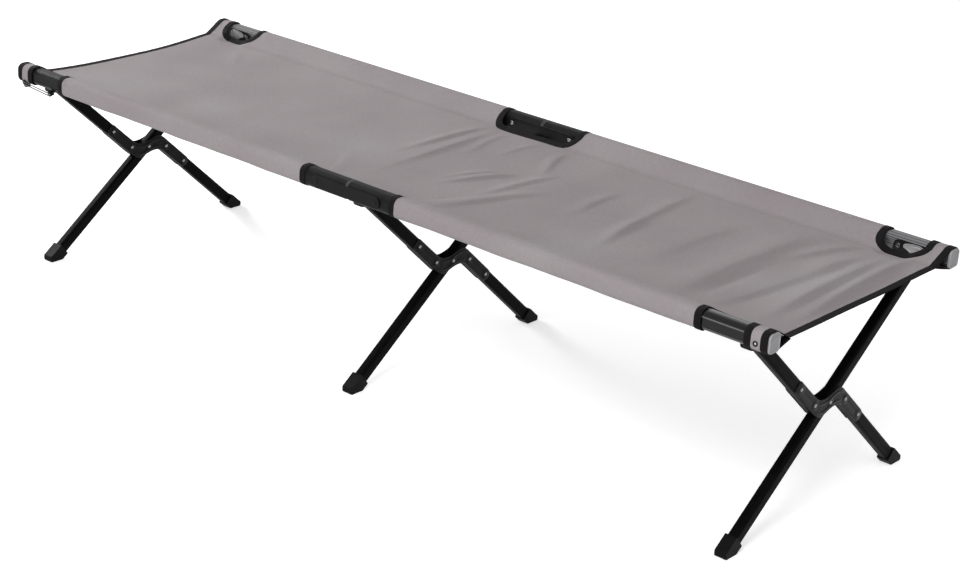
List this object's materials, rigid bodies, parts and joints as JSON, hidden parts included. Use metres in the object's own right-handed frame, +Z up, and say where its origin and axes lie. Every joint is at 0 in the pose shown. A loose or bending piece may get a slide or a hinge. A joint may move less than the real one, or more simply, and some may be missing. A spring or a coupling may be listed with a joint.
{
  "type": "camping cot",
  "caption": "folding camping cot: a fabric sling on two jointed side rails, carried by crossed leg pairs with riveted hub plates and rubber feet",
  "frame": {"origin": "on the floor, under the middle of the cot's length and width", "axes": "+X runs along the cot towards its right end, +Y across it towards the far rail, +Z up"},
  "size_m": [1.9, 0.5956, 0.4295],
  "materials": {
    "rail": "silver-grey anodised, satin",
    "plug": "silver-grey moulded plastic",
    "cap": "black moulded plastic, satin",
    "plate": "black powder coat on folded sheet",
    "leg": "black anodised fluted tube, satin",
    "hub": "black powder coat on pressed sheet",
    "rivet": "bare domed rivets",
    "foot": "black moulded rubber",
    "sling": "grey-taupe woven polyester with near-black bindings"
  },
  "bodies": {
    "near_rail_right": {"near_rail_right": "rail", "near_plug_right": "plug", "near_cap_right": "cap", "near_bracket_rivet_right": "rivet", "sling_right": "sling"},
    "near_link": {"near_link_outer": "plate", "near_link_inner": "plate", "middle_pin_near": "rivet", "sling_middle": "sling"},
    "near_rail_left": {"near_rail_left": "rail", "near_plug_left": "plug", "near_cap_left": "cap", "near_bracket_rivet_left": "rivet", "sling_left": "sling"},
    "near_bracket_right": {"near_bracket_right": "plate", "right_pin_near": "rivet"},
    "near_bracket_left": {"near_bracket_left": "plate", "left_pin_near": "rivet"},
    "right_short_legs": {"right_upper_leg": "leg", "right_lower_leg": "leg", "right_hub_front": "hub", "right_hub_back": "hub", "right_hub_pivot": "rivet", "right_foot_far": "foot"},
    "right_long_leg": {"right_long_leg": "leg", "right_foot_near": "foot"},
    "middle_short_legs": {"middle_upper_leg": "leg", "middle_lower_leg": "leg", "middle_hub_front": "hub", "middle_hub_back": "hub", "middle_hub_pivot": "rivet", "middle_foot_far": "foot"},
    "middle_long_leg": {"middle_long_leg": "leg", "middle_foot_near": "foot"},
    "left_short_legs": {"left_upper_leg": "leg", "left_lower_leg": "leg", "left_hub_front": "hub", "left_hub_back": "hub", "left_hub_pivot": "rivet", "left_foot_far": "foot"},
    "left_long_leg": {"left_long_leg": "leg", "left_foot_near": "foot"},
    "far_bracket_right": {"far_bracket_right": "plate", "right_pin_far": "rivet"},
    "far_link": {"far_link_outer": "plate", "far_link_inner": "plate", "middle_pin_far": "rivet"},
    "far_bracket_left": {"far_bracket_left": "plate", "left_pin_far": "rivet"},
    "far_rail_right": {"far_rail_right": "rail", "far_plug_right": "plug", "far_cap_right": "cap", "far_bracket_rivet_right": "rivet"},
    "far_rail_left": {"far_rail_left": "rail", "far_plug_left": "plug", "far_cap_left": "cap", "far_bracket_rivet_left": "rivet"}
  },
  "joints": [
    {"name": "length_fold", "type": "hinge", "parent": "near_rail_right", "child": "near_link", "pos_m": [0.09, -0.277, 0.411], "axis": [0, -1, 0], "range_deg": [0, 90]},
    {"name": "near_left_rail_fold", "type": "hinge", "parent": "near_link", "child": "near_rail_left", "pos_m": [-0.06, -0.277, 0.411], "axis": [0, -1, 0], "range_deg": [0, 90]},
    {"name": "near_bracket_right_swing", "type": "hinge", "parent": "near_rail_right", "child": "near_bracket_right", "pos_m": [0.846, -0.277, 0.411], "axis": [0, 1, 0], "range_deg": [0, 90]},
    {"name": "near_bracket_left_swing", "type": "hinge", "parent": "near_rail_left", "child": "near_bracket_left", "pos_m": [-0.846, -0.277, 0.411], "axis": [0, -1, 0], "range_deg": [0, 90]},
    {"name": "far_right_rail_fold", "type": "hinge", "parent": "far_link", "child": "far_rail_right", "pos_m": [0.09, 0.277, 0.411], "axis": [0, 1, 0], "range_deg": [0, 90]},
    {"name": "far_left_rail_fold", "type": "hinge", "parent": "far_link", "child": "far_rail_left", "pos_m": [-0.06, 0.277, 0.411], "axis": [0, -1, 0], "range_deg": [0, 90]},
    {"name": "width_fold", "type": "hinge", "parent": "near_link", "child": "middle_short_legs", "pos_m": [0.015, -0.2435, 0.389], "axis": [-1, 0, 0], "range_deg": [0, 49.5], "deforming": ["sling_left", "sling_middle", "sling_right"]},
    {"name": "right_short_legs_tilt", "type": "hinge", "parent": "near_bracket_right", "child": "right_short_legs", "pos_m": [0.8875, -0.2435, 0.389], "axis": [-1, 0, 0], "range_deg": [0, 49.5]},
    {"name": "left_short_legs_tilt", "type": "hinge", "parent": "near_bracket_left", "child": "left_short_legs", "pos_m": [-0.8875, -0.2435, 0.389], "axis": [-1, 0, 0], "range_deg": [0, 49.5]},
    {"name": "middle_scissor", "type": "hinge", "parent": "middle_short_legs", "child": "middle_long_leg", "pos_m": [0.015, 0, 0.2036], "axis": [1, 0, 0], "range_deg": [0, 99]},
    {"name": "right_scissor", "type": "hinge", "parent": "right_short_legs", "child": "right_long_leg", "pos_m": [0.8875, 0, 0.2036], "axis": [1, 0, 0], "range_deg": [0, 99]},
    {"name": "left_scissor", "type": "hinge", "parent": "left_short_legs", "child": "left_long_leg", "pos_m": [-0.8875, 0, 0.2036], "axis": [1, 0, 0], "range_deg": [0, 99]},
    {"name": "far_link_tilt", "type": "hinge", "parent": "middle_long_leg", "child": "far_link", "pos_m": [0.015, 0.2435, 0.389], "axis": [-1, 0, 0], "range_deg": [0, 49.5]},
    {"name": "far_bracket_right_tilt", "type": "hinge", "parent": "right_long_leg", "child": "far_bracket_right", "pos_m": [0.8875, 0.2435, 0.389], "axis": [-1, 0, 0], "range_deg": [0, 49.5]},
    {"name": "far_bracket_left_tilt", "type": "hinge", "parent": "left_long_leg", "child": "far_bracket_left", "pos_m": [-0.8875, 0.2435, 0.389], "axis": [-1, 0, 0], "range_deg": [0, 49.5]}
  ],
  "couplings": [
    {"joint": "near_left_rail_fold", "follows": "length_fold", "ratio": 1},
    {"joint": "near_bracket_right_swing", "follows": "length_fold", "ratio": 1},
    {"joint": "near_bracket_left_swing", "follows": "length_fold", "ratio": 1},
    {"joint": "far_right_rail_fold", "follows": "length_fold", "ratio": 1},
    {"joint": "far_left_rail_fold", "follows": "length_fold", "ratio": 1},
    {"joint": "right_short_legs_tilt", "follows": "width_fold", "ratio": 1},
    {"joint": "left_short_legs_tilt", "follows": "width_fold", "ratio": 1},
    {"joint": "middle_scissor", "follows": "width_fold", "ratio": 2},
    {"joint": "right_scissor", "follows": "width_fold", "ratio": 2},
    {"joint": "left_scissor", "follows": "width_fold", "ratio": 2},
    {"joint": "far_link_tilt", "follows": "width_fold", "ratio": 1},
    {"joint": "far_bracket_right_tilt", "follows": "width_fold", "ratio": 1},
    {"joint": "far_bracket_left_tilt", "follows": "width_fold", "ratio": 1}
  ]
}
